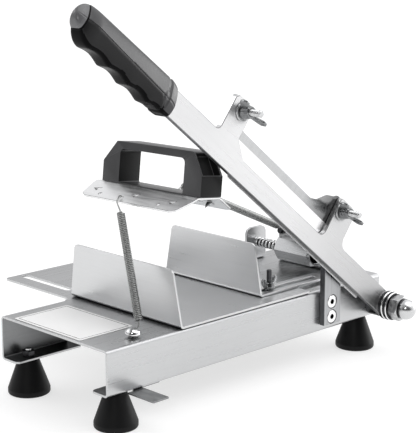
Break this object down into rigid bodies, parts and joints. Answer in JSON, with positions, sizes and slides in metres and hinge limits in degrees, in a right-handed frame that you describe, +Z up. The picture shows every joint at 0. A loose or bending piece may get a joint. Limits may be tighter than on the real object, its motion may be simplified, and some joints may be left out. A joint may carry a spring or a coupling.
{
  "type": "frozen meat slicer",
  "caption": "Hand-lever slicer for frozen meat rolls: folded steel base on rubber feet, tray with a sliding guide, sprung press plate and a long hinged cutting arm.",
  "frame": {"origin": "on the surface the feet stand on, under the middle of the bounding box", "axes": "+X along the base towards the end that carries the arm's pivot, +Y from the front wall to the rear wing, +Z up"},
  "size_m": [0.3898, 0.29, 0.3487],
  "materials": {
    "sheet_steel": "fine brushed stainless sheet, very light",
    "brushed_bar": "brushed stainless bar",
    "blade_steel": "ground and polished blade steel",
    "chrome": "bright polished",
    "fastener_steel": "bright zinc or stainless fasteners",
    "dark_steel": "dark steel with bright edges",
    "rubber": "black rubber",
    "grip_black": "semi-gloss black moulding",
    "press_handle_black": "satin dark grey moulding",
    "label_white": "blank white sticker",
    "spring_steel": "drawn spring wire"
  },
  "bodies": {
    "base": {"base_channel": "sheet_steel", "foot_fl": "rubber", "foot_fr": "rubber", "foot_bl": "rubber", "foot_br": "rubber", "foot_screw_fl": "fastener_steel", "foot_screw_fr": "fastener_steel", "foot_screw_bl": "fastener_steel", "foot_screw_br": "fastener_steel", "foot_nut_fl": "fastener_steel", "foot_nut_fr": "fastener_steel", "foot_nut_bl": "fastener_steel", "foot_nut_br": "fastener_steel", "label": "label_white", "guide_post": "brushed_bar", "post_screw_upper": "chrome", "post_screw_lower": "chrome", "stop_plate": "brushed_bar", "stop_screw_a": "fastener_steel", "stop_screw_b": "fastener_steel", "tray": "sheet_steel", "guide_stud": "dark_steel", "pivot_bolt": "fastener_steel", "pivot_bush": "dark_steel", "pivot_disc_inner": "dark_steel", "pivot_disc_outer": "dark_steel", "pivot_nut": "fastener_steel", "dome_nut": "chrome", "spring_screw": "chrome", "spring_bracket": "sheet_steel", "bracket_screw_a": "fastener_steel", "bracket_screw_b": "fastener_steel", "spring_hook_screw": "dark_steel", "spindle_bracket": "sheet_steel", "spindle_bracket_screw_a": "fastener_steel", "spindle_bracket_screw_b": "fastener_steel", "spindle": "dark_steel", "spindle_nut": "fastener_steel", "left_spring": "spring_steel", "right_spring": "spring_steel"},
    "arm": {"blade_arm": "brushed_bar", "blade": "blade_steel", "grip": "grip_black", "grip_cap": "grip_black", "clamp_bolt_outer": "fastener_steel", "clamp_bolt_inner": "fastener_steel", "clamp_washer_outer": "fastener_steel", "clamp_washer_inner": "fastener_steel"},
    "press": {"press_plate": "sheet_steel", "press_handle": "press_handle_black", "handle_screw_front": "fastener_steel", "handle_screw_back": "fastener_steel"},
    "side_guide": {"side_guide": "sheet_steel"},
    "guide_wing_nut": {"guide_wing_nut": "fastener_steel"},
    "wing_nut_outer": {"wing_nut_outer": "fastener_steel"},
    "wing_nut_inner": {"wing_nut_inner": "fastener_steel"},
    "hex_sleeve": {"hex_sleeve": "chrome"}
  },
  "joints": [
    {"name": "arm_pivot", "type": "hinge", "parent": "base", "child": "arm", "pos_m": [0.18104, -0.112, 0.0453], "axis": [0, 1, 0], "range_deg": [-38.8, 45]},
    {"name": "press_slide", "type": "slide", "parent": "base", "child": "press", "axis": [0, 0, 1], "range_m": [-0.034, 0.03], "deforming": ["left_spring", "right_spring"]},
    {"name": "guide_slide", "type": "slide", "parent": "base", "child": "side_guide", "axis": [1, 0, 0], "range_m": [-0.058, 0.006]},
    {"name": "guide_nut_turn", "type": "hinge", "parent": "base", "child": "guide_wing_nut", "pos_m": [0.06054, -0.07, 0.0766], "axis": [0, 0, 1], "continuous": true},
    {"name": "wing_nut_outer_turn", "type": "hinge", "parent": "arm", "child": "wing_nut_outer", "pos_m": [-0.01889, -0.1141, 0.2525], "axis": [0, -1, 0], "continuous": true},
    {"name": "wing_nut_inner_turn", "type": "hinge", "parent": "arm", "child": "wing_nut_inner", "pos_m": [0.11098, -0.1141, 0.1475], "axis": [0, -1, 0], "continuous": true},
    {"name": "sleeve_turn", "type": "hinge", "parent": "base", "child": "hex_sleeve", "pos_m": [0.14434, -0.054, 0.0906], "axis": [0, 1, 0], "continuous": true}
  ]
}
